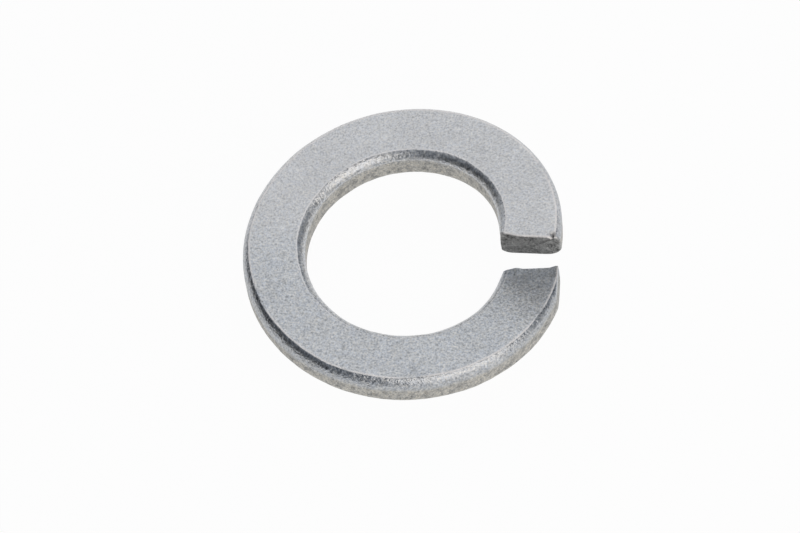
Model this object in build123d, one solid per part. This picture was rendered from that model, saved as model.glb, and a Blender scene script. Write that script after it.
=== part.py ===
"""Spring lock washer: one length of flat wire coiled into a single left-hand turn.

Millimetres. +Z runs along the bore. The origin is the centre of the bore at mid height.
The split in the ring is on +X, where the raised end stands above the low end.
"""
import os
from math import degrees, hypot
from build123d import *

# Ring
OUTER_DIAMETER = 21.1
BORE_DIAMETER = 12.8
THICKNESS = 2.45
COIL_PITCH = 4.03              # rise of the coil in one full turn

# Rounding of the wire's four long edges
TOP_INNER_ROUNDING = 0.57
TOP_OUTER_ROUNDING = 0.42
BOTTOM_INNER_ROUNDING = 0.87
BOTTOM_OUTER_ROUNDING = 0.97

# Sheared ends: both faces lean the same way, so that one top edge and one bottom edge can bite
CUT_OVERHANG = 0.25            # how far each end runs past the middle of the split, at mid thickness
CUT_SLANT = 8.9                # degrees between a sheared face and the bore's direction
UPPER_CUT_SKEW = 2.2           # degrees from radial, seen from above
LOWER_CUT_SKEW = 8.1
SHEARED_EDGE_ROLL = 0.13       # rolled top edge of the raised end

# Flats pinched into the wire's sides by the shear: depth at the split, and length along the wire
UPPER_INNER_PINCH = 0.22
UPPER_INNER_PINCH_LENGTH = 1.4
LOWER_INNER_PINCH = 0.18
LOWER_INNER_PINCH_LENGTH = 2.4
LOWER_OUTER_PINCH = 0.38
LOWER_OUTER_PINCH_LENGTH = 2.5

SPARE_TURN = 8.0               # degrees of wire coiled past the split at each end, then sheared off
SHEAR_BLOCK = 6.0              # side of the blocks that take material off at the ends

OUTER_RADIUS = OUTER_DIAMETER / 2
BORE_RADIUS = BORE_DIAMETER / 2
MID_RADIUS = (OUTER_RADIUS + BORE_RADIUS) / 2


def coiled_bar():
    """Rectangular bar on a left-hand helix, wider than the wire, with spare turn at each end."""
    rise = COIL_PITCH * (1 + 2 * SPARE_TURN / 360)
    helix = Helix(pitch=COIL_PITCH, height=rise, radius=MID_RADIUS, lefthand=True)
    path = Rot(0, 0, SPARE_TURN) * Pos(0, 0, -rise / 2) * helix
    low_end = Rot(0, 0, SPARE_TURN) * Pos(MID_RADIUS, 0, -rise / 2)
    section = low_end * Rot(90, 0, 0) * Rectangle(OUTER_RADIUS - BORE_RADIUS + 2, THICKNESS)
    return sweep(section, path=path, is_frenet=True)


def square_ring():
    """The coiled bar with its two walls turned to true cylinders."""
    tube = Cylinder(OUTER_RADIUS, 4 * COIL_PITCH) - Cylinder(BORE_RADIUS, 4 * COIL_PITCH)
    return coiled_bar() & (Rot(0, 0, 180) * tube)


def edges_on_wall(face, radius):
    """The edges of a face that run along the wall of this radius."""
    def on_wall(edge):
        middle = edge @ 0.5
        return abs(hypot(middle.X, middle.Y) - radius) < 0.01
    return face.edges().filter_by(on_wall)


def round_long_edges(ring):
    """Each of the wire's four long edges has its own rounding."""
    bottom, top = 0, -1
    roundings = [
        (top, BORE_RADIUS, TOP_INNER_ROUNDING),
        (top, OUTER_RADIUS, TOP_OUTER_ROUNDING),
        (bottom, BORE_RADIUS, BOTTOM_INNER_ROUNDING),
        (bottom, OUTER_RADIUS, BOTTOM_OUTER_ROUNDING),
    ]
    for side, radius, rounding in roundings:
        flats = ring.faces().sort_by(SortBy.AREA)[-2:]
        ring = fillet(edges_on_wall(flats.sort_by(Axis.Z)[side], radius), rounding)
    return ring


def shear_block(side, skew):
    """The block past one end's sheared face: side is 1 at the raised end and -1 at the low end."""
    block = Pos(0, -side * SHEAR_BLOCK / 2, 0) * Box(SHEAR_BLOCK, SHEAR_BLOCK, 2 * SHEAR_BLOCK)
    at_end = Pos(MID_RADIUS, -side * CUT_OVERHANG, side * COIL_PITCH / 2)
    leaned = at_end * Rot(0, 0, skew) * Rot(CUT_SLANT, 0, 0) * block
    this_end = Pos(MID_RADIUS, 0, side * SHEAR_BLOCK / 2) * Box(SHEAR_BLOCK, SHEAR_BLOCK, SHEAR_BLOCK)
    return leaned & this_end


def pinch_block(side, radius, depth, length):
    """The prism past a flat that leaves a wall at this length from the split and is deepest there."""
    start = Vector(radius, 0, 0).rotate(Axis.Z, side * degrees(length / radius))
    tip = Vector(radius - depth, 0, 0)
    past_tip = tip * 2 - start
    clear = 1.2 if depth > 0 else 0.8
    outline = Polyline(start, past_tip, past_tip * clear, start * clear, close=True)
    return extrude(make_face(outline), side * SHEAR_BLOCK, dir=(0, 0, 1))


def trim_ends(ring):
    """Shear the spare turn off both ends and pinch their sides."""
    ring -= shear_block(1, UPPER_CUT_SKEW)
    ring -= shear_block(-1, LOWER_CUT_SKEW)
    ring -= pinch_block(1, BORE_RADIUS, -UPPER_INNER_PINCH, UPPER_INNER_PINCH_LENGTH)
    ring -= pinch_block(-1, BORE_RADIUS, -LOWER_INNER_PINCH, LOWER_INNER_PINCH_LENGTH)
    ring -= pinch_block(-1, OUTER_RADIUS, LOWER_OUTER_PINCH, LOWER_OUTER_PINCH_LENGTH)
    return ring


def roll_sheared_edge(ring):
    """The shear drags the raised end's top edge down into a small roll."""
    flats = ring.faces().filter_by(GeomType.PLANE).sort_by(SortBy.AREA)
    upper_sheared_face = flats[-2:].sort_by(Axis.Z)[-1]
    top_edge = upper_sheared_face.edges().sort_by(Axis.Z)[-1]
    return fillet(top_edge, SHEARED_EDGE_ROLL)


def lock_washer():
    """The finished ring."""
    return roll_sheared_edge(trim_ends(round_long_edges(square_ring())))


os.makedirs("parts", exist_ok=True)
export_step(lock_washer(), "parts/lock_washer.step")
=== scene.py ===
"""Spring lock washer: the finished look of the part, built around its CAD frame.

Metres and radians. +Z runs along the bore and the split in the ring is on +X, as in the CAD model.
"""
import math

import bmesh
import bpy
from mathutils import Matrix, Vector


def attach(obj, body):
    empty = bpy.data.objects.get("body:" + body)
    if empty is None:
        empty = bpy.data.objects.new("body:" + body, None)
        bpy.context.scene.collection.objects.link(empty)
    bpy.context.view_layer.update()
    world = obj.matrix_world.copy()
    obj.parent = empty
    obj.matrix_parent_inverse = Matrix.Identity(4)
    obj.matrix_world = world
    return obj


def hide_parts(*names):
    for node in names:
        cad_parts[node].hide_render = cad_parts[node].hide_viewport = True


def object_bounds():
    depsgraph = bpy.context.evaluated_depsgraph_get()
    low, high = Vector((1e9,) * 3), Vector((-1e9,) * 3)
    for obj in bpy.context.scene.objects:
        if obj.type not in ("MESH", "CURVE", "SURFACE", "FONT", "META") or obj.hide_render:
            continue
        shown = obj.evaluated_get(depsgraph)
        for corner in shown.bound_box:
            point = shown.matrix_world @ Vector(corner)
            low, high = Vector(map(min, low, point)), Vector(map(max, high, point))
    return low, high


bl_info = {
    "name": "Spring Lock Washer",
    "version": (1, 0, 0),
    "blender": (4, 5, 0),
    "location": "3D View > Sidebar > Lock Washer",
    "description": "Coils a spring lock washer, finishes it in dull zinc and sets its stage",
    "category": "Object",
}

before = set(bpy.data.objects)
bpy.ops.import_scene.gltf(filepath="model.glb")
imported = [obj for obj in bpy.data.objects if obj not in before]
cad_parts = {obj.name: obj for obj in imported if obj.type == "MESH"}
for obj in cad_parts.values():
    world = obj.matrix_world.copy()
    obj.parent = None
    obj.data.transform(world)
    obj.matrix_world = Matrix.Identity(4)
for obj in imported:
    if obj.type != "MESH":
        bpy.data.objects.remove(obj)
CAD_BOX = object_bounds()

MM = 0.001

# Shares of the way round the wire's section, starting on the bore wall below the top inner edge
TOP_INNER_EDGE = (0.00, 0.11)
TOP_FACE = (0.11, 0.30)
TOP_OUTER_EDGE = (0.30, 0.40)
OUTER_WALL = (0.40, 0.50)
BOTTOM_OUTER_EDGE = (0.50, 0.62)
BOTTOM_FACE = (0.62, 0.78)
BOTTOM_INNER_EDGE = (0.78, 0.90)
BORE_WALL = (0.90, 1.00)

# Shares of the way along the wire, the same at both ends: the sheared face, then its rolled edge
SHEARED_FACE_SHARE = 0.045
ROLLED_EDGE_SHARE = 0.009

# Direction, counterclockwise from +X, in which the top outer rounding is largest
FRONT_LEFT = math.radians(245)

# Points of the swept grid along the wire and round its section
ROWS_ALONG = 680
POINTS_ROUND = 121

# Share of the way along the wire over which the low half gives way to the raised half
MIDDLE_OF_WIRE = (0.45, 0.55)

# Noise scale of the unevenness that rolling leaves: in the roundings, on a unit circle;
# in the faces, per metre
WAVER_SCALE = 2.6
WAVE_SCALE = 420.0

# Softness of the border between a pinched flat and the round wall
PINCH_BLEND = 0.04 * MM

# Tear at the raised end: from the bore side outwards, and up from the wire's middle height
TEAR_ACROSS = (0.1 * MM, 1.7 * MM)
TEAR_HEIGHT = 1.0 * MM

# Nick at the raised end: way round the section, then distance from the sheared face
NICK_PLACE, NICK_WIDTH = 0.292, 0.012
NICK_SET_BACK, NICK_LENGTH = 0.12 * MM, 0.28 * MM

# Burrs at the low end: way round the section, then reach along the wire
OUTER_BURR_PLACE, INNER_BURR_PLACE, BURR_WIDTH = 0.294, 0.140, 0.030
INNER_BURR_HEIGHT = 0.8
BURR_LENGTH = 0.9 * MM

# Points of the coil closer than this are one point
WELD_DISTANCE = 0.0005 * MM

# Scale per metre of each pattern in the plate
GRAIN_SCALE = 6000.0
SPECKLE_SCALE = 9000.0
MOTTLING_SCALE = 2400.0
DRIFT_SCALE = 330.0
TORN_SCALE = 1500.0

# How strongly each pattern lightens and darkens the metal
GRAIN_SHADE = 1.2
SPECKLE_SHADE = 0.8
MOTTLING_SHADE = 0.25
DRIFT_SHADE = 0.25
TORN_SHADE = 1.8
STAIN_SHADE = 0.38

# Levels of a pattern between which its patches appear
COOL_PATCHES = (0.40, 0.60)
WARM_SPECKS = (0.52, 0.72)
WALL_STAINS = (0.50, 0.62)
HIGHLIGHT_PATCHES = (0.30, 0.50)

# Blur, in shares of the way round the section, at the borders of each zone of finish
EDGE_BLUR = 0.012
WALL_BLUR = 0.03
ROLLED_BLUR = 0.02

# Painted highlight lines along the top face's rims, in shares of the way round the section
INNER_RIM_WIDTH, OUTER_RIM_WIDTH = 0.005, 0.009
INNER_RIM_STRENGTH = 0.6

# Rolled edge round the sheared face: where its painted highlight is brightest between wire and face, and its
# top side
ROLLED_MIDDLE, ROLLED_WIDTH = 0.4, 0.6
ROLLED_TOP = (0.09, 0.33)

# Painted shade on the low end, darker than the rest of the plate
LOW_TIP_SHARE = 0.05
LOW_TIP_SHADE = (0.80, 0.82, 0.85, 1)

# Share of the painted shade on the rounded edges that the top inner edge is spared
INNER_EDGE_SPARED = 0.65

# How much of the plate the nick's shadow and the painted highlights hide
NICK_SHADOW = (0.05, 0.05, 0.05, 1)
NICK_COVER = 0.9
HIGHLIGHT_COVER = 0.85

# Roughness of the plate, and what is added or taken away by each finish
PLATE_ROUGHNESS = 0.54
GRAIN_ROUGHNESS = 0.3
BURNISHED_SMOOTHING = 0.18
ROLLED_SMOOTHING = 0.2
SHEARED_ROUGHENING = 0.08

PLATE_METALLIC = 0.93
# Metallic taken away under the painted highlights
HIGHLIGHT_METALLIC_LOSS = 0.6

# Relief of each pattern beside the grain's, and the depth of the whole
SPECKLE_RELIEF = 0.4
MOTTLING_RELIEF = 0.6
WALL_MOTTLING_RELIEF = 1.2
TORN_RELIEF = 4
RELIEF_DEPTH = 0.03 * MM

# Floor: half its side, its clearance under the washer, its grey, and how white it looks
FLOOR_HALF = 0.6
FLOOR_CLEARANCE = 0.01 * MM
FLOOR_GREY = (0.85, 0.85, 0.85, 1)
FLOOR_WHITENESS = 0.96

# Black card: the two ends of its foot, its height and its colour
CARD_FOOT = ((-0.24, 0.10), (-0.16, -0.26))
CARD_HEIGHT = 0.13
CARD_BLACK = (0.02, 0.02, 0.025, 1)

DIM_STUDIO = (0.16, 0.18, 0.21, 1)

# Studio lights: direction from the washer, distance, width, depth, watts and colour
SOFTBOXES = {
    "overhead_softbox": ((-0.10, 0.45, 0.85), 0.40, 0.46, 0.40, 0.50, (1.0, 1.0, 1.0)),
    "back_softbox": ((-0.10, 1.0, 0.16), 0.50, 1.70, 0.20, 0.90, (1.0, 1.0, 1.0)),
    "front_right_softbox": ((0.62, -0.62, 0.60), 0.40, 0.56, 0.44, 1.05, (1.0, 0.95, 0.89)),
}


class Value:
    """A socket of a node tree that takes part in arithmetic."""

    def __init__(self, graph, socket):
        self.graph = graph
        self.socket = socket

    def __add__(self, other):
        return self.graph.math("ADD", self, other)

    __radd__ = __add__

    def __mul__(self, other):
        return self.graph.math("MULTIPLY", self, other)

    __rmul__ = __mul__

    def __sub__(self, other):
        return self.graph.math("SUBTRACT", self, other)

    def __rsub__(self, other):
        return self.graph.math("SUBTRACT", other, self)

    def __truediv__(self, other):
        return self.graph.math("DIVIDE", self, other)

    def __rtruediv__(self, other):
        return self.graph.math("DIVIDE", other, self)

    def __neg__(self):
        return self.graph.math("MULTIPLY", self, -1.0)


class Graph:
    """Adds nodes to a tree, for shaders and geometry alike."""

    def __init__(self, tree):
        self.tree = tree
        tree.nodes.clear()

    def node(self, kind, settings=None, inputs=None):
        """One node: its settings first, then the values or links of its sockets."""
        node = self.tree.nodes.new(kind)
        for name, value in (settings or {}).items():
            setattr(node, name, value)
        for key, value in (inputs or {}).items():
            if isinstance(value, Value):
                self.tree.links.new(value.socket, node.inputs[key])
            else:
                node.inputs[key].default_value = value
        return node

    def out(self, node, key=0):
        return Value(self, node.outputs[key])

    def value(self, kind, settings=None, inputs=None, key=0):
        """The output of a new node."""
        return self.out(self.node(kind, settings, inputs), key)

    def math(self, operation, *values):
        return self.value("ShaderNodeMath", {"operation": operation}, dict(enumerate(values)))

    def clamp(self, value):
        return self.value("ShaderNodeClamp", None, {0: value})

    def span(self, value, start, end):
        """0 up to start, 1 from end on, and a straight rise between."""
        return self.clamp((value - start) / (end - start))

    def step(self, value, start, end):
        """As span, with a smooth rise."""
        inputs = {"Value": value, "From Min": start, "From Max": end}
        return self.value("ShaderNodeMapRange", {"interpolation_type": "SMOOTHSTEP"}, inputs)

    def bump_at(self, value, centre, width):
        """1 where the value is at centre, falling away to 0 over width on both sides."""
        away = self.math("ABSOLUTE", value - centre)
        return 1 - self.step(away, 0.0, width)

    def vector(self, x, y, z):
        return self.value("ShaderNodeCombineXYZ", None, {0: x, 1: y, 2: z})

    def scaled(self, vector, amount):
        return self.value("ShaderNodeVectorMath", {"operation": "SCALE"}, {0: vector, 3: amount})

    def noise(self, vector, scale, detail=2.0, roughness=0.5):
        inputs = {"Vector": vector, "Scale": scale, "Detail": detail, "Roughness": roughness}
        return self.value("ShaderNodeTexNoise", None, inputs)

    def blend(self, amount, first, second):
        """A colour between two colours."""
        return self.value("ShaderNodeMix", {"data_type": "RGBA"}, {0: amount, 6: first, 7: second}, 2)

    def tinted(self, amount, first, second):
        """The first colour multiplied by the second, by this amount."""
        settings = {"data_type": "RGBA", "blend_type": "MULTIPLY"}
        return self.value("ShaderNodeMix", settings, {0: amount, 6: first, 7: second}, 2)

    def join(self, output, target, key):
        self.tree.links.new(output, target.inputs[key])


class WasherSizes(bpy.types.PropertyGroup):
    """Sizes of the coiled ring."""

    outer_radius: bpy.props.FloatProperty(
        name="Outer Radius", description="From the bore's axis to the outer wall",
        default=10.55 * MM, min=0.0, precision=5, unit="LENGTH")
    bore_radius: bpy.props.FloatProperty(
        name="Bore Radius", description="From the bore's axis to the bore wall",
        default=6.4 * MM, min=0.0, precision=5, unit="LENGTH")
    thickness: bpy.props.FloatProperty(
        name="Thickness", description="Of the wire, from its bottom face to its top face",
        default=2.45 * MM, min=0.0, precision=5, unit="LENGTH")
    coil_pitch: bpy.props.FloatProperty(
        name="Coil Pitch", description="Rise of the coil in one full turn",
        default=4.03 * MM, precision=5, unit="LENGTH")
    top_inner_run: bpy.props.FloatProperty(
        name="Top Inner Run", description="Width of the rounding between the top face and the bore wall",
        default=0.50 * MM, min=0.0, precision=5, unit="LENGTH")
    top_inner_fall: bpy.props.FloatProperty(
        name="Top Inner Fall", description="Height of that rounding",
        default=0.62 * MM, min=0.0, precision=5, unit="LENGTH")
    top_outer_run: bpy.props.FloatProperty(
        name="Top Outer Run", description="Width of the rounding between the top face and the outer wall",
        default=0.41 * MM, min=0.0, precision=5, unit="LENGTH")
    top_outer_fall: bpy.props.FloatProperty(
        name="Top Outer Fall", description="Height of that rounding",
        default=0.62 * MM, min=0.0, precision=5, unit="LENGTH")
    top_edge_lead: bpy.props.FloatProperty(
        name="Top Edge Lead", description="Slope with which the top roundings leave the flattened face",
        default=math.radians(22), subtype="ANGLE")
    top_edge_trail: bpy.props.FloatProperty(
        name="Top Edge Trail", description="Slope with which the top roundings meet the walls",
        default=math.radians(76), subtype="ANGLE")
    bottom_inner_rounding: bpy.props.FloatProperty(
        name="Bottom Inner Rounding", description="Radius of the bottom edge at the bore",
        default=0.87 * MM, min=0.0, precision=5, unit="LENGTH")
    bottom_outer_rounding: bpy.props.FloatProperty(
        name="Bottom Outer Rounding", description="Radius of the bottom edge at the outer wall",
        default=0.97 * MM, min=0.0, precision=5, unit="LENGTH")
    outer_lopside: bpy.props.FloatProperty(
        name="Outer Lopside", description="How much larger the top outer rounding is at the front left",
        default=0.32, min=0.0, max=1.0, subtype="FACTOR")
    edge_waver: bpy.props.FloatProperty(
        name="Edge Waver", description="How unevenly the rolled wire's edges are rounded",
        default=0.25, min=0.0, max=1.0, subtype="FACTOR")
    surface_wave: bpy.props.FloatProperty(
        name="Surface Wave", description="Depth of the shallow waves that rolling leaves in the faces",
        default=0.02 * MM, min=0.0, precision=6, unit="LENGTH")


class WasherEnds(bpy.types.PropertyGroup):
    """Sizes of the two sheared ends."""

    cut_overhang: bpy.props.FloatProperty(
        name="Cut Overhang", description="How far each end runs past the middle of the split",
        default=0.25 * MM, precision=5, unit="LENGTH")
    cut_slant: bpy.props.FloatProperty(
        name="Cut Slant", description="Between a sheared face and the bore's direction",
        default=math.radians(8.9), subtype="ANGLE")
    upper_cut_skew: bpy.props.FloatProperty(
        name="Upper Cut Skew", description="Turn of the raised end's sheared face from radial",
        default=math.radians(2.2), subtype="ANGLE")
    lower_cut_skew: bpy.props.FloatProperty(
        name="Lower Cut Skew", description="Turn of the low end's sheared face from radial",
        default=math.radians(8.1), subtype="ANGLE")
    sheared_edge_roll: bpy.props.FloatProperty(
        name="Sheared Edge Roll", description="Radius of the edges round the sheared faces",
        default=0.16 * MM, min=0.0, precision=5, unit="LENGTH")
    torn_inner_corner: bpy.props.FloatProperty(
        name="Torn Inner Corner", description="How far the raised end's top edge falls short beside the bore",
        default=0.24 * MM, precision=5, unit="LENGTH")
    corner_nick: bpy.props.FloatProperty(
        name="Corner Nick", description="Depth of the nick in the raised end's top outer corner",
        default=0.40 * MM, precision=5, unit="LENGTH")
    low_tip_burr: bpy.props.FloatProperty(
        name="Low Tip Burr", description="Height of the two burrs on the low end's top edge",
        default=0.18 * MM, precision=5, unit="LENGTH")
    upper_inner_pinch: bpy.props.FloatProperty(
        name="Upper Inner Pinch", description="Depth of the flat on the bore wall at the raised end",
        default=0.22 * MM, precision=5, unit="LENGTH")
    upper_inner_pinch_length: bpy.props.FloatProperty(
        name="Upper Inner Pinch Length", description="Length of that flat along the wire",
        default=1.4 * MM, precision=5, unit="LENGTH")
    lower_inner_pinch: bpy.props.FloatProperty(
        name="Lower Inner Pinch", description="Depth of the flat on the bore wall at the low end",
        default=0.18 * MM, precision=5, unit="LENGTH")
    lower_inner_pinch_length: bpy.props.FloatProperty(
        name="Lower Inner Pinch Length", description="Length of that flat along the wire",
        default=2.4 * MM, precision=5, unit="LENGTH")
    lower_outer_pinch: bpy.props.FloatProperty(
        name="Lower Outer Pinch", description="Depth of the flat on the outer wall at the low end",
        default=0.38 * MM, precision=5, unit="LENGTH")
    lower_outer_pinch_length: bpy.props.FloatProperty(
        name="Lower Outer Pinch Length", description="Length of that flat along the wire",
        default=2.5 * MM, precision=5, unit="LENGTH")


class WasherFinish(bpy.types.PropertyGroup):
    """Colours of the zinc plate, of the painted shade and highlights on it, and of the dark sheared face."""

    zinc: bpy.props.FloatVectorProperty(
        name="Zinc", description="The dull plate on the faces",
        default=(0.64, 0.65, 0.66), size=3, min=0.0, max=1.0, subtype="COLOR")
    cool_zinc: bpy.props.FloatVectorProperty(
        name="Cool Zinc", description="Bluish mottling in the plate",
        default=(0.59, 0.61, 0.64), size=3, min=0.0, max=1.0, subtype="COLOR")
    warm_zinc: bpy.props.FloatVectorProperty(
        name="Warm Zinc", description="Yellowish mottling in the plate",
        default=(0.605, 0.595, 0.575), size=3, min=0.0, max=1.0, subtype="COLOR")
    # Painted shade and warm reflected light: the walls coloured darker and warmer than the faces
    wall_shade: bpy.props.FloatVectorProperty(
        name="Wall Shade", description="Tint of the plate on the bore wall and the outer wall",
        default=(0.80, 0.77, 0.71), size=3, min=0.0, max=1.0, subtype="COLOR")
    # Painted shade: a darker tint on the rounded edges, standing in for the dark they reflect
    edge_shade: bpy.props.FloatVectorProperty(
        name="Edge Shade", description="Tint of the plate on the rounded edges",
        default=(0.78, 0.79, 0.805), size=3, min=0.0, max=1.0, subtype="COLOR")
    # Painted highlight: bright colour on the top face's rims and on the raised end's rolled edge
    rim_highlight: bpy.props.FloatVectorProperty(
        name="Rim Highlight", description="Bright metal where the edges of the top face are rubbed bare",
        default=(1.0, 0.96, 0.93), size=3, min=0.0, max=1.0, subtype="COLOR")
    # Dark grey for the raised end's sheared face
    sheared_steel: bpy.props.FloatVectorProperty(
        name="Dark Sheared Face", description="The torn metal of the sheared faces",
        default=(0.30, 0.30, 0.295), size=3, min=0.0, max=1.0, subtype="COLOR")


class WasherStage(bpy.types.PropertyGroup):
    """Where the camera stands, where it looks and its lens."""

    azimuth: bpy.props.FloatProperty(
        name="Azimuth", description="Camera's turn round the washer from -Y towards +X",
        default=math.radians(14.82), subtype="ANGLE")
    elevation: bpy.props.FloatProperty(
        name="Elevation", description="Camera's height above the horizon",
        default=math.radians(53.42), subtype="ANGLE")
    roll: bpy.props.FloatProperty(
        name="Roll", description="Camera's turn about its own axis",
        default=math.radians(-8.2), subtype="ANGLE")
    distance: bpy.props.FloatProperty(
        name="Distance", description="From the camera to the point it looks at",
        default=222.4 * MM, precision=4, unit="LENGTH")
    lens: bpy.props.FloatProperty(
        name="Lens", description="Focal length in millimetres",
        default=152.67, min=1.0)
    aim_right: bpy.props.FloatProperty(
        name="Aim Right", description="From the origin to the point looked at, to the camera's right",
        default=-0.217 * MM, precision=5, unit="LENGTH")
    aim_up: bpy.props.FloatProperty(
        name="Aim Up", description="From the origin to the point looked at, upwards for the camera",
        default=-0.916 * MM, precision=5, unit="LENGTH")


def wire_section(graph, way_round, width, thickness, edge, lead, trail):
    """Distance from the bore wall and height of a point this far round the wire's section."""
    def share(part):
        return graph.span(way_round, *part)

    def arc(amount, run, fall, start=0.0, stop=math.pi / 2):
        """How far a rounding has run and fallen, turning from the slope start to the slope stop."""
        angle = amount * (stop - start) + start
        sines = [graph.math("SINE", turned) for turned in (start, angle, stop)]
        cosines = [graph.math("COSINE", turned) for turned in (start, angle, stop)]
        ran = (sines[1] - sines[0]) / (sines[2] - sines[0]) * run
        fell = (cosines[0] - cosines[1]) / (cosines[0] - cosines[2]) * fall
        return ran, fell

    top_in_run, top_in_fall = arc(
        1 - share(TOP_INNER_EDGE), edge["top_inner_run"], edge["top_inner_fall"], lead, trail)
    top_out_run, top_out_fall = arc(
        share(TOP_OUTER_EDGE), edge["top_outer_run"], edge["top_outer_fall"], lead, trail)
    low_out_run, low_out_rise = arc(1 - share(BOTTOM_OUTER_EDGE), edge["bottom_outer"], edge["bottom_outer"])
    low_in_run, low_in_rise = arc(share(BOTTOM_INNER_EDGE), edge["bottom_inner"], edge["bottom_inner"])
    top_run = (width - edge["top_inner_run"] - edge["top_outer_run"]) * share(TOP_FACE)
    bottom_run = (width - edge["bottom_inner"] - edge["bottom_outer"]) * share(BOTTOM_FACE)
    outer_fall = (thickness - edge["top_outer_fall"] - edge["bottom_outer"]) * share(OUTER_WALL)
    bore_rise = (thickness - edge["top_inner_fall"] - edge["bottom_inner"]) * share(BORE_WALL)

    across = edge["top_inner_run"] - top_in_run + top_run + top_out_run
    across = across - edge["bottom_outer"] + low_out_run - bottom_run - low_in_run
    height = thickness / 2 - top_in_fall - top_out_fall - outer_fall
    height = height - edge["bottom_outer"] + low_out_rise + low_in_rise + bore_rise
    return across, height


def pinch(graph, from_split, depth, length, radius, hollow):
    """How deep a straight flat lies under a round wall, this far from the split."""
    inside = graph.clamp(from_split / length)
    straight = depth * (1 - inside)
    sagitta = inside * (1 - inside) * length * length / (radius * 2)
    flat = straight - sagitta if hollow else straight + sagitta
    return graph.math("MAXIMUM", flat, 0.0)


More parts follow.
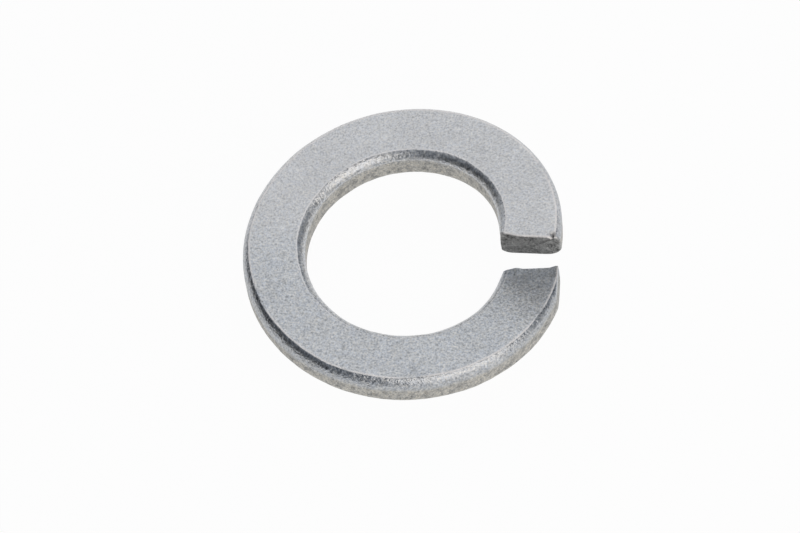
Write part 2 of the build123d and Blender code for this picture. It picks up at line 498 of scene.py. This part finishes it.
def coil_tree(material):
    """Geometry Nodes that sweep the wire's section along a left-hand coil and shear its ends."""
    tree = bpy.data.node_groups.new("Coiled lock washer", "GeometryNodeTree")
    tree.is_modifier = True
    tree.interface.new_socket("Geometry", in_out="INPUT", socket_type="NodeSocketGeometry")
    for group in (WasherSizes, WasherEnds):
        for prop in group.bl_rna.properties:
            if prop.type == "FLOAT":
                tree.interface.new_socket(prop.name, in_out="INPUT", socket_type="NodeSocketFloat")
    tree.interface.new_socket("Geometry", in_out="OUTPUT", socket_type="NodeSocketGeometry")
    graph = Graph(tree)
    given = graph.node("NodeGroupInput")

    def size(name):
        return graph.out(given, name)

    grid_inputs = {"Size X": 1.0, "Size Y": 1.0, "Vertices X": ROWS_ALONG, "Vertices Y": POINTS_ROUND}
    grid = graph.node("GeometryNodeMeshGrid", None, grid_inputs)
    place = graph.node("ShaderNodeSeparateXYZ", None, {0: graph.value("GeometryNodeInputPosition")})
    way_along = graph.out(place, 0) + 0.5
    way_round = graph.out(place, 1) + 0.5

    to_end = graph.math("MINIMUM", way_along, 1 - way_along)
    sheared_share = SHEARED_FACE_SHARE
    rolled_share = SHEARED_FACE_SHARE + ROLLED_EDGE_SHARE
    along = graph.span(way_along, rolled_share, 1 - rolled_share)
    roll_turn = (1 - graph.span(to_end, sheared_share, rolled_share)) * (math.pi / 2)
    face_spread = graph.span(to_end, 0.0, sheared_share)
    raised_half = graph.step(way_along, *MIDDLE_OF_WIRE)

    bore_radius = size("Bore Radius")
    width = size("Outer Radius") - bore_radius
    thickness = size("Thickness")

    # Uneven roundings, read off a circle so that they don't jump; each edge has a layer of its own
    rough_turn = along * (2 * math.pi)
    circle_x = graph.math("COSINE", rough_turn)
    circle_y = graph.math("SINE", rough_turn)

    def wavering(name, layer):
        circle = graph.vector(circle_x, circle_y, layer)
        wander = graph.noise(circle, WAVER_SCALE, detail=4.0, roughness=0.6)
        return size(name) * (1 + (wander - 0.5) * size("Edge Waver") * 2)

    lopsided = 1 + size("Outer Lopside") * graph.math("COSINE", rough_turn + FRONT_LEFT)
    edge = {
        "top_inner_run": wavering("Top Inner Run", 0.0),
        "top_inner_fall": wavering("Top Inner Fall", 0.0),
        "top_outer_run": wavering("Top Outer Run", 3.0) * lopsided,
        "top_outer_fall": wavering("Top Outer Fall", 3.0) * lopsided,
        "bottom_inner": wavering("Bottom Inner Rounding", 6.0),
        "bottom_outer": wavering("Bottom Outer Rounding", 9.0),
    }
    across, height = wire_section(
        graph, way_round, width, thickness, edge, size("Top Edge Lead"), size("Top Edge Trail"))

    # The edge round each sheared face rolls in, and the face closes on its middle
    roll = size("Sheared Edge Roll")
    inset = roll * (1 - graph.math("COSINE", roll_turn))
    shrink_across = (1 - inset * 2 / width) * face_spread
    shrink_height = (1 - inset * 2 / thickness) * face_spread
    across = (across - width / 2) * shrink_across + width / 2
    height = height * shrink_height
    set_back = roll * (1 - graph.math("SINE", roll_turn))

    # Flats pinched into the walls beside the shear
    from_raised = (1 - along) * (2 * math.pi)
    from_low = along * (2 * math.pi)
    upper_inner = pinch(graph, from_raised * bore_radius, size("Upper Inner Pinch"),
                        size("Upper Inner Pinch Length"), bore_radius, True)
    lower_inner = pinch(graph, from_low * bore_radius, size("Lower Inner Pinch"),
                        size("Lower Inner Pinch Length"), bore_radius, True)
    lower_outer = pinch(graph, from_low * size("Outer Radius"), size("Lower Outer Pinch"),
                        size("Lower Outer Pinch Length"), size("Outer Radius"), False)
    across = graph.math("SMOOTH_MAX", across, upper_inner + lower_inner, PINCH_BLEND)
    across = graph.math("SMOOTH_MIN", across, width - lower_outer, PINCH_BLEND)

    # Each end stops at its slanted, skewed cut, torn short at one corner
    radius = bore_radius + across
    off_middle = across - width / 2
    tear = (1 - graph.step(across, *TEAR_ACROSS)) * graph.step(height, 0.0, TEAR_HEIGHT)
    torn = size("Torn Inner Corner") * tear
    lean = height * graph.math("TANGENT", size("Cut Slant"))
    upper_cut = off_middle * graph.math("TANGENT", size("Upper Cut Skew")) - size("Cut Overhang")
    lower_cut = off_middle * graph.math("TANGENT", size("Lower Cut Skew")) + size("Cut Overhang")
    upper_turn = (upper_cut - lean + set_back + torn) / radius
    lower_turn = (lower_cut - lean - set_back) / radius + 2 * math.pi
    turn = lower_turn + (upper_turn - lower_turn) * along

    # A nick in the raised end's top edge and two burrs on the low end's
    nick_along = graph.bump_at(from_raised * radius, NICK_SET_BACK, NICK_LENGTH)
    nick = graph.bump_at(way_round, NICK_PLACE, NICK_WIDTH) * nick_along
    height = height - size("Corner Nick") * nick
    outer_burr = graph.bump_at(way_round, OUTER_BURR_PLACE, BURR_WIDTH)
    inner_burr = graph.bump_at(way_round, INNER_BURR_PLACE, BURR_WIDTH) * INNER_BURR_HEIGHT
    near_low_cut = 1 - graph.step(from_low * radius, 0.0, BURR_LENGTH)
    height = height + size("Low Tip Burr") * (outer_burr + inner_burr) * near_low_cut * face_spread
    rise = size("Coil Pitch") * (0.5 - turn / (2 * math.pi)) + height
    coiled = graph.vector(radius * graph.math("COSINE", turn), radius * graph.math("SINE", turn), rise)

    mesh = graph.out(grid)
    for name, field in (
        ("way_round", way_round),
        ("way_along", along),
        ("sheared", 1 - graph.span(to_end, sheared_share, rolled_share)),
        ("raised_end", raised_half),
        ("nick", nick),
    ):
        mesh = graph.value("GeometryNodeStoreNamedAttribute", {"data_type": "FLOAT", "domain": "POINT"},
                           {"Geometry": mesh, "Name": name, "Value": field})
    mesh = graph.value("GeometryNodeSetPosition", None, {"Geometry": mesh, "Position": coiled})
    mesh = graph.value("GeometryNodeMergeByDistance", None, {"Geometry": mesh, "Distance": WELD_DISTANCE})

    # Shallow waves, always inwards
    spot = graph.value("GeometryNodeInputPosition")
    wave = graph.noise(spot, WAVE_SCALE, detail=3.0, roughness=0.55)
    sink = graph.scaled(graph.value("GeometryNodeInputNormal"), -size("Surface Wave") * wave)
    mesh = graph.value("GeometryNodeSetPosition", None, {"Geometry": mesh, "Offset": sink})

    mesh = graph.value("GeometryNodeRealizeInstances", None, {"Geometry": mesh})
    mesh = graph.value("GeometryNodeSetMaterial", None, {"Geometry": mesh, "Material": material})
    result = graph.node("NodeGroupOutput")
    graph.join(mesh.socket, result, 0)
    return tree


def window(graph, value, part, blur):
    """1 over a share of the way round the section, blurred at its borders."""
    start, end = part
    return graph.step(value, start - blur, start + blur) * (1 - graph.step(value, end - blur, end + blur))


def dull_zinc(finish):
    """Matt zinc plate with a fine grain, burnished and darkened with painted shade on the rounded edges, torn
    on the sheared faces and dark grey on the raised end's, with painted highlights on the top face's rims and
    the raised end's rolled edge, and painted shade on the walls and the low end.
    """
    material = bpy.data.materials.new("Dull zinc plate")
    material.use_nodes = True
    graph = Graph(material.node_tree)
    place = graph.value("ShaderNodeTexCoord", None, None, "Object")

    def attribute(name):
        return graph.value("ShaderNodeAttribute", {"attribute_name": name}, None, "Fac")

    way_round = attribute("way_round")
    sheared = attribute("sheared")
    raised_end = attribute("raised_end")
    way_along = attribute("way_along")

    grain = graph.noise(place, GRAIN_SCALE, detail=1.0)
    speckle = graph.noise(place, SPECKLE_SCALE, detail=0.0)
    mottling = graph.noise(place, MOTTLING_SCALE, roughness=0.6)
    drift = graph.noise(place, DRIFT_SCALE, detail=3.0, roughness=0.55)
    torn = graph.noise(place, TORN_SCALE, detail=3.0, roughness=0.6)

    # Where each finish, each painted shade and each painted highlight lies
    outer_side = (OUTER_WALL[0], BOTTOM_OUTER_EDGE[1])
    bore_side = (BOTTOM_INNER_EDGE[0], BORE_WALL[1])
    inner_edge = window(graph, way_round, TOP_INNER_EDGE, EDGE_BLUR)
    outer_edge = window(graph, way_round, TOP_OUTER_EDGE, EDGE_BLUR)
    # The rounded edges, made smoother and darkened with painted shade
    burnished_shaded_edges = graph.clamp(inner_edge + outer_edge) * (1 - sheared)
    walls = window(graph, way_round, outer_side, WALL_BLUR) + window(graph, way_round, bore_side, WALL_BLUR)
    walls = graph.clamp(walls) * (1 - sheared)
    # Painted highlights: thin lines on the top face's rims, broken into patches, and on the raised end's
    # rolled edge
    inner_rim = graph.bump_at(way_round, TOP_FACE[0], INNER_RIM_WIDTH) * INNER_RIM_STRENGTH
    outer_rim = graph.bump_at(way_round, TOP_FACE[1], OUTER_RIM_WIDTH)
    rim_highlights = (inner_rim + outer_rim) * (1 - sheared) * graph.step(drift, *HIGHLIGHT_PATCHES)
    low_tip_shade = (1 - graph.step(way_along, 0.0, LOW_TIP_SHARE)) * (1 - raised_end)
    rolled = graph.bump_at(sheared, ROLLED_MIDDLE, ROLLED_WIDTH)
    rolled = rolled * window(graph, way_round, ROLLED_TOP, ROLLED_BLUR)
    painted_highlight = graph.clamp(rim_highlights + rolled * raised_end)

    # Light and dark in the metal, with stains on the walls
    shade = 1 + (grain - 0.5) * GRAIN_SHADE + (speckle - 0.5) * SPECKLE_SHADE
    shade = shade + (mottling - 0.5) * MOTTLING_SHADE + (drift - 0.5) * DRIFT_SHADE
    stains = graph.step(mottling + (grain - 0.5) * 0.5, *WALL_STAINS)
    shade = shade - walls * stains * STAIN_SHADE + sheared * (torn - 0.5) * TORN_SHADE

    colour = graph.blend(graph.step(mottling, *COOL_PATCHES), [*finish.zinc, 1], [*finish.cool_zinc, 1])
    colour = graph.blend(graph.step(speckle, *WARM_SPECKS), colour, [*finish.warm_zinc, 1])
    colour = graph.tinted(1.0, colour, shade)
    # Painted shade and warm reflected light on the bore wall and the outer wall
    colour = graph.tinted(walls, colour, [*finish.wall_shade, 1])
    # Painted shade on the rounded edges, with less of it on the top inner edge
    edge_shade_mask = burnished_shaded_edges * (1 - inner_edge * INNER_EDGE_SPARED)
    colour = graph.tinted(edge_shade_mask, colour, [*finish.edge_shade, 1])
    # Painted shade on the low end
    colour = graph.tinted(low_tip_shade, colour, LOW_TIP_SHADE)
    # The raised end's sheared face coloured dark grey, with the torn pattern over it
    dark_face = graph.tinted(1.0, [*finish.sheared_steel, 1], shade)
    colour = graph.blend(sheared * raised_end, colour, dark_face)
    colour = graph.blend(attribute("nick") * NICK_COVER, colour, NICK_SHADOW)
    # Painted highlight on the rims and the rolled edge
    colour = graph.blend(painted_highlight * HIGHLIGHT_COVER, colour, [*finish.rim_highlight, 1])

    roughness = PLATE_ROUGHNESS + (grain - 0.5) * GRAIN_ROUGHNESS - burnished_shaded_edges * BURNISHED_SMOOTHING
    roughness = roughness - rolled * ROLLED_SMOOTHING + sheared * SHEARED_ROUGHENING
    relief = (grain - 0.5) + (speckle - 0.5) * SPECKLE_RELIEF + torn * sheared * TORN_RELIEF
    relief = relief + (mottling - 0.5) * (MOTTLING_RELIEF + walls * WALL_MOTTLING_RELIEF)
    bump = graph.value("ShaderNodeBump", None, {"Strength": 1.0, "Distance": RELIEF_DEPTH, "Height": relief})

    surface = graph.node("ShaderNodeBsdfPrincipled", None, {
        "Base Color": colour, "Roughness": roughness, "Normal": bump,
        "Metallic": PLATE_METALLIC - painted_highlight * HIGHLIGHT_METALLIC_LOSS})
    output = graph.node("ShaderNodeOutputMaterial")
    graph.join(surface.outputs[0], output, "Surface")
    return material


def pale_floor():
    """White floor that keeps a soft shadow."""
    material = bpy.data.materials.new("Pale floor")
    material.use_nodes = True
    graph = Graph(material.node_tree)
    path = graph.node("ShaderNodeLightPath")
    seen = graph.math("MAXIMUM", graph.out(path, "Is Camera Ray"), graph.out(path, "Is Glossy Ray"))
    seen = graph.math("MAXIMUM", seen, graph.out(path, "Is Transmission Ray"))
    matt = graph.node("ShaderNodeBsdfDiffuse", None, {"Color": FLOOR_GREY})
    white = graph.node("ShaderNodeEmission", None, {"Color": (1, 1, 1, 1), "Strength": 1.0})
    mix = graph.node("ShaderNodeMixShader", None, {0: seen * FLOOR_WHITENESS})
    graph.join(matt.outputs[0], mix, 1)
    graph.join(white.outputs[0], mix, 2)
    output = graph.node("ShaderNodeOutputMaterial")
    graph.join(mix.outputs[0], output, "Surface")
    return material


def camera_axes(stage):
    """The camera's right, up and backward directions."""
    turn, lift, roll = stage.azimuth, stage.elevation, stage.roll
    back = Vector((math.sin(turn) * math.cos(lift), -math.cos(turn) * math.cos(lift), math.sin(lift)))
    level = Vector((math.cos(turn), math.sin(turn), 0))
    upright = back.cross(level)
    right = math.cos(roll) * level + math.sin(roll) * upright
    up = -math.sin(roll) * level + math.cos(roll) * upright
    return right, up, back


def softbox(name, direction, distance, width, depth, power, colour):
    """Rectangular studio light that faces the washer."""
    light = bpy.data.lights.new(name, "AREA")
    light.shape = "RECTANGLE"
    light.size = width
    light.size_y = depth
    light.energy = power
    light.color = colour
    lamp = bpy.data.objects.new(name, light)
    toward = Vector(direction).normalized()
    lamp.location = toward * distance
    lamp.rotation_euler = toward.to_track_quat("Z", "Y").to_euler()
    bpy.context.scene.collection.objects.link(lamp)


class OBJECT_OT_coil_lock_washer(bpy.types.Operator):
    """Coil the ring, shear its ends and finish it in zinc"""

    bl_idname = "object.coil_lock_washer"
    bl_label = "Coil Lock Washer"

    def execute(self, context):
        scene = context.scene
        material = dull_zinc(scene.washer_finish)
        host = bpy.data.objects.new("washer_blank", bpy.data.meshes.new("washer_blank"))
        scene.collection.objects.link(host)
        modifier = host.modifiers.new("Coil", "NODES")
        modifier.node_group = coil_tree(material)
        sockets = {item.name: item.identifier for item in modifier.node_group.interface.items_tree
                   if item.item_type == "SOCKET" and item.in_out == "INPUT"}
        for group in (scene.washer_sizes, scene.washer_ends):
            for prop in group.bl_rna.properties:
                if prop.type == "FLOAT":
                    modifier[sockets[prop.name]] = getattr(group, prop.identifier)
        depsgraph = context.evaluated_depsgraph_get()
        mesh = bpy.data.meshes.new_from_object(host.evaluated_get(depsgraph), depsgraph=depsgraph)
        mesh.name = "lock_washer_ring"
        host.modifiers.remove(modifier)
        bpy.data.objects.remove(host)
        if not mesh.polygons:
            raise RuntimeError("the coil came out empty")
        shell = bmesh.new()
        shell.from_mesh(mesh)
        bmesh.ops.dissolve_degenerate(shell, dist=0.0002 * MM, edges=shell.edges)
        bmesh.ops.recalc_face_normals(shell, faces=shell.faces)
        shell.to_mesh(mesh)
        shell.free()
        mesh.shade_smooth()
        mesh.set_sharp_from_angle(angle=math.radians(50))
        ring = bpy.data.objects.new("lock_washer_ring", mesh)
        scene.collection.objects.link(ring)
        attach(ring, "root")
        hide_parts("lock_washer")
        return {"FINISHED"}


class SCENE_OT_set_washer_stage(bpy.types.Operator):
    """Lay the pale floor, stand the black card, hang the studio lights and place the camera"""

    bl_idname = "scene.set_washer_stage"
    bl_label = "Set Washer Stage"

    def execute(self, context):
        scene = context.scene
        scene.view_settings.view_transform = "Standard"
        self.lay_floor(scene)
        self.stand_flag(scene)
        self.light_studio(scene)
        self.place_camera(scene)
        return {"FINISHED"}

    def lay_floor(self, scene):
        mesh = bpy.data.meshes.new("floor")
        low = CAD_BOX[0].z - FLOOR_CLEARANCE
        sides = ((-1, -1), (1, -1), (1, 1), (-1, 1))
        corners = [(x * FLOOR_HALF, y * FLOOR_HALF, low) for x, y in sides]
        mesh.from_pydata(corners, [], [(0, 1, 2, 3)])
        mesh.materials.append(pale_floor())
        floor = bpy.data.objects.new("floor", mesh)
        scene.collection.objects.link(floor)

    def stand_flag(self, scene):
        """Black card beyond the front left, seen only as the dark in the rounded edges that face it."""
        material = bpy.data.materials.new("Black card")
        material.use_nodes = True
        graph = Graph(material.node_tree)
        matt = graph.node("ShaderNodeBsdfDiffuse", None, {"Color": CARD_BLACK})
        graph.join(matt.outputs[0], graph.node("ShaderNodeOutputMaterial"), "Surface")
        mesh = bpy.data.meshes.new("black_card")
        low, high = CAD_BOX[0].z, CAD_BOX[0].z + CARD_HEIGHT
        left, right = CARD_FOOT
        corners = [(*left, low), (*right, low), (*right, high), (*left, high)]
        mesh.from_pydata(corners, [], [(0, 1, 2, 3)])
        mesh.materials.append(material)
        flag = bpy.data.objects.new("black_card", mesh)
        flag.visible_camera = False
        scene.collection.objects.link(flag)

    def light_studio(self, scene):
        world = bpy.data.worlds.new("Dim studio")
        world.use_nodes = True
        graph = Graph(world.node_tree)
        dim = graph.node("ShaderNodeBackground", None, {"Color": DIM_STUDIO, "Strength": 1.0})
        output = graph.node("ShaderNodeOutputWorld")
        graph.join(dim.outputs[0], output, "Surface")
        scene.world = world
        for name, setting in SOFTBOXES.items():
            softbox(name, *setting)

    def place_camera(self, scene):
        stage = scene.washer_stage
        right, up, back = camera_axes(stage)
        lens = bpy.data.cameras.new("camera")
        lens.sensor_width = 36.0
        lens.lens = stage.lens
        lens.clip_start = 0.01
        lens.clip_end = 10.0
        camera = bpy.data.objects.new("camera", lens)
        aim = stage.aim_right * right + stage.aim_up * up
        turned = Matrix((right, up, back)).transposed().to_4x4()
        camera.matrix_world = Matrix.Translation(aim + stage.distance * back) @ turned
        scene.collection.objects.link(camera)
        scene.camera = camera


class VIEW3D_PT_lock_washer(bpy.types.Panel):
    """Buttons and settings of the lock washer"""

    bl_idname = "VIEW3D_PT_lock_washer"
    bl_label = "Lock Washer"
    bl_space_type = "VIEW_3D"
    bl_region_type = "UI"
    bl_category = "Lock Washer"

    def draw(self, context):
        layout = self.layout
        layout.operator(OBJECT_OT_coil_lock_washer.bl_idname)
        layout.operator(SCENE_OT_set_washer_stage.bl_idname)
        scene = context.scene
        for group in (scene.washer_sizes, scene.washer_ends, scene.washer_finish, scene.washer_stage):
            box = layout.box()
            for prop in group.bl_rna.properties:
                if prop.type == "FLOAT":
                    box.prop(group, prop.identifier)


CLASSES = (
    WasherSizes,
    WasherEnds,
    WasherFinish,
    WasherStage,
    OBJECT_OT_coil_lock_washer,
    SCENE_OT_set_washer_stage,
    VIEW3D_PT_lock_washer,
)

SETTINGS = {
    "washer_sizes": WasherSizes,
    "washer_ends": WasherEnds,
    "washer_finish": WasherFinish,
    "washer_stage": WasherStage,
}


def register():
    for cls in CLASSES:
        bpy.utils.register_class(cls)
    for name, group in SETTINGS.items():
        setattr(bpy.types.Scene, name, bpy.props.PointerProperty(type=group))


def unregister():
    for name in SETTINGS:
        delattr(bpy.types.Scene, name)
    for cls in reversed(CLASSES):
        bpy.utils.unregister_class(cls)


def main():
    register()
    bpy.ops.object.coil_lock_washer()
    bpy.ops.scene.set_washer_stage()


if __name__ == "__main__":
    main()
